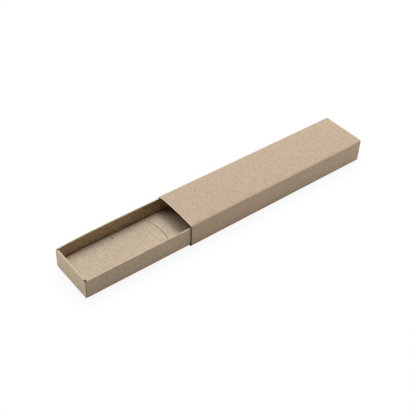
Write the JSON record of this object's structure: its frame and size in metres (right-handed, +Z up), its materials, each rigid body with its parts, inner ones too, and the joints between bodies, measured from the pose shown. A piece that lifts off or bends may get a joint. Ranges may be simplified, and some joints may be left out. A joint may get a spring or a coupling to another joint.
{
  "type": "sliding drawer gift box",
  "caption": "Slim folded-board gift box: open-ended sleeve, double-walled drawer that slides out of it, and a lift-out raised floor with curved slits and a holding band.",
  "frame": {"origin": "middle of the sleeve's underside", "axes": "+Y along the box, from the drawer's pull-out end to the sleeve's far end; +Z up; +X to the box's right side"},
  "size_m": [0.041, 0.2705, 0.0205],
  "materials": {
    "sleeve_board": "uncoated kraft board, matt, fine fibre mottle",
    "drawer_board": "uncoated kraft board, matt, fine fibre mottle",
    "platform_board": "uncoated kraft board, matt, fine fibre mottle"
  },
  "bodies": {
    "sleeve": {"sleeve_top": "sleeve_board", "sleeve_bottom": "sleeve_board", "sleeve_right_side": "sleeve_board", "sleeve_left_side": "sleeve_board", "sleeve_glue_flap": "sleeve_board"},
    "drawer": {"drawer_base": "drawer_board", "drawer_right_outer_wall": "drawer_board", "drawer_right_rim": "drawer_board", "drawer_right_inner_wall": "drawer_board", "drawer_left_outer_wall": "drawer_board", "drawer_left_rim": "drawer_board", "drawer_left_inner_wall": "drawer_board", "drawer_front_outer_wall": "drawer_board", "drawer_front_rim": "drawer_board", "drawer_front_inner_wall": "drawer_board", "drawer_rear_outer_wall": "drawer_board", "drawer_rear_rim": "drawer_board", "drawer_rear_inner_wall": "drawer_board", "corner_tab_front_right": "drawer_board", "corner_tab_front_left": "drawer_board", "corner_tab_rear_right": "drawer_board", "corner_tab_rear_left": "drawer_board"},
    "platform": {"platform_top": "platform_board", "platform_right_leg": "platform_board", "platform_left_leg": "platform_board", "platform_front_leg": "platform_board", "platform_rear_leg": "platform_board"}
  },
  "joints": [
    {"name": "drawer_slide", "type": "slide", "parent": "sleeve", "child": "drawer", "axis": [0, -1, 0], "range_m": [-0.0915, 0.0875]},
    {"name": "platform_lift", "type": "slide", "parent": "drawer", "child": "platform", "axis": [0, 0, 1], "range_m": [0, 0.012]}
  ]
}
